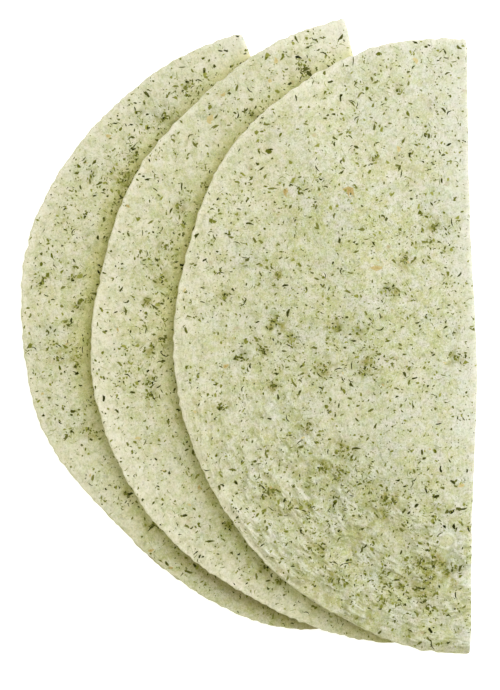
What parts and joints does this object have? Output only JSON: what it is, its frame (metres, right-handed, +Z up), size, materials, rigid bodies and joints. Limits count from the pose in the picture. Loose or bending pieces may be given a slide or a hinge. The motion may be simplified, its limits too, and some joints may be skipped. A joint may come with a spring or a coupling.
{
  "type": "stack of folded herb wraps",
  "caption": "Low fanned stack of soft round flatbreads with herb flakes, each folded once into a half-moon, fold sides together.",
  "frame": {"origin": "on the resting plane, under the middle of the stack's bounding box", "axes": "+X from the rims towards the folds, +Y along the fold of the top wrap, +Z up"},
  "size_m": [0.1872, 0.2594, 0.0151],
  "materials": {
    "herb_dough": "matt soft flour dough, cream green, speckled with herb flakes, paler at the rims and folds",
    "dried_herb": "matt dark green dried herb flakes, flush with the dough",
    "toasted_bit": "matt orange-brown toasted specks, flush with the dough"
  },
  "bodies": {
    "root": {"wrap_bottom": "herb_dough", "wrap_middle": "herb_dough", "wrap_top": "herb_dough"}
  },
  "joints": []
}
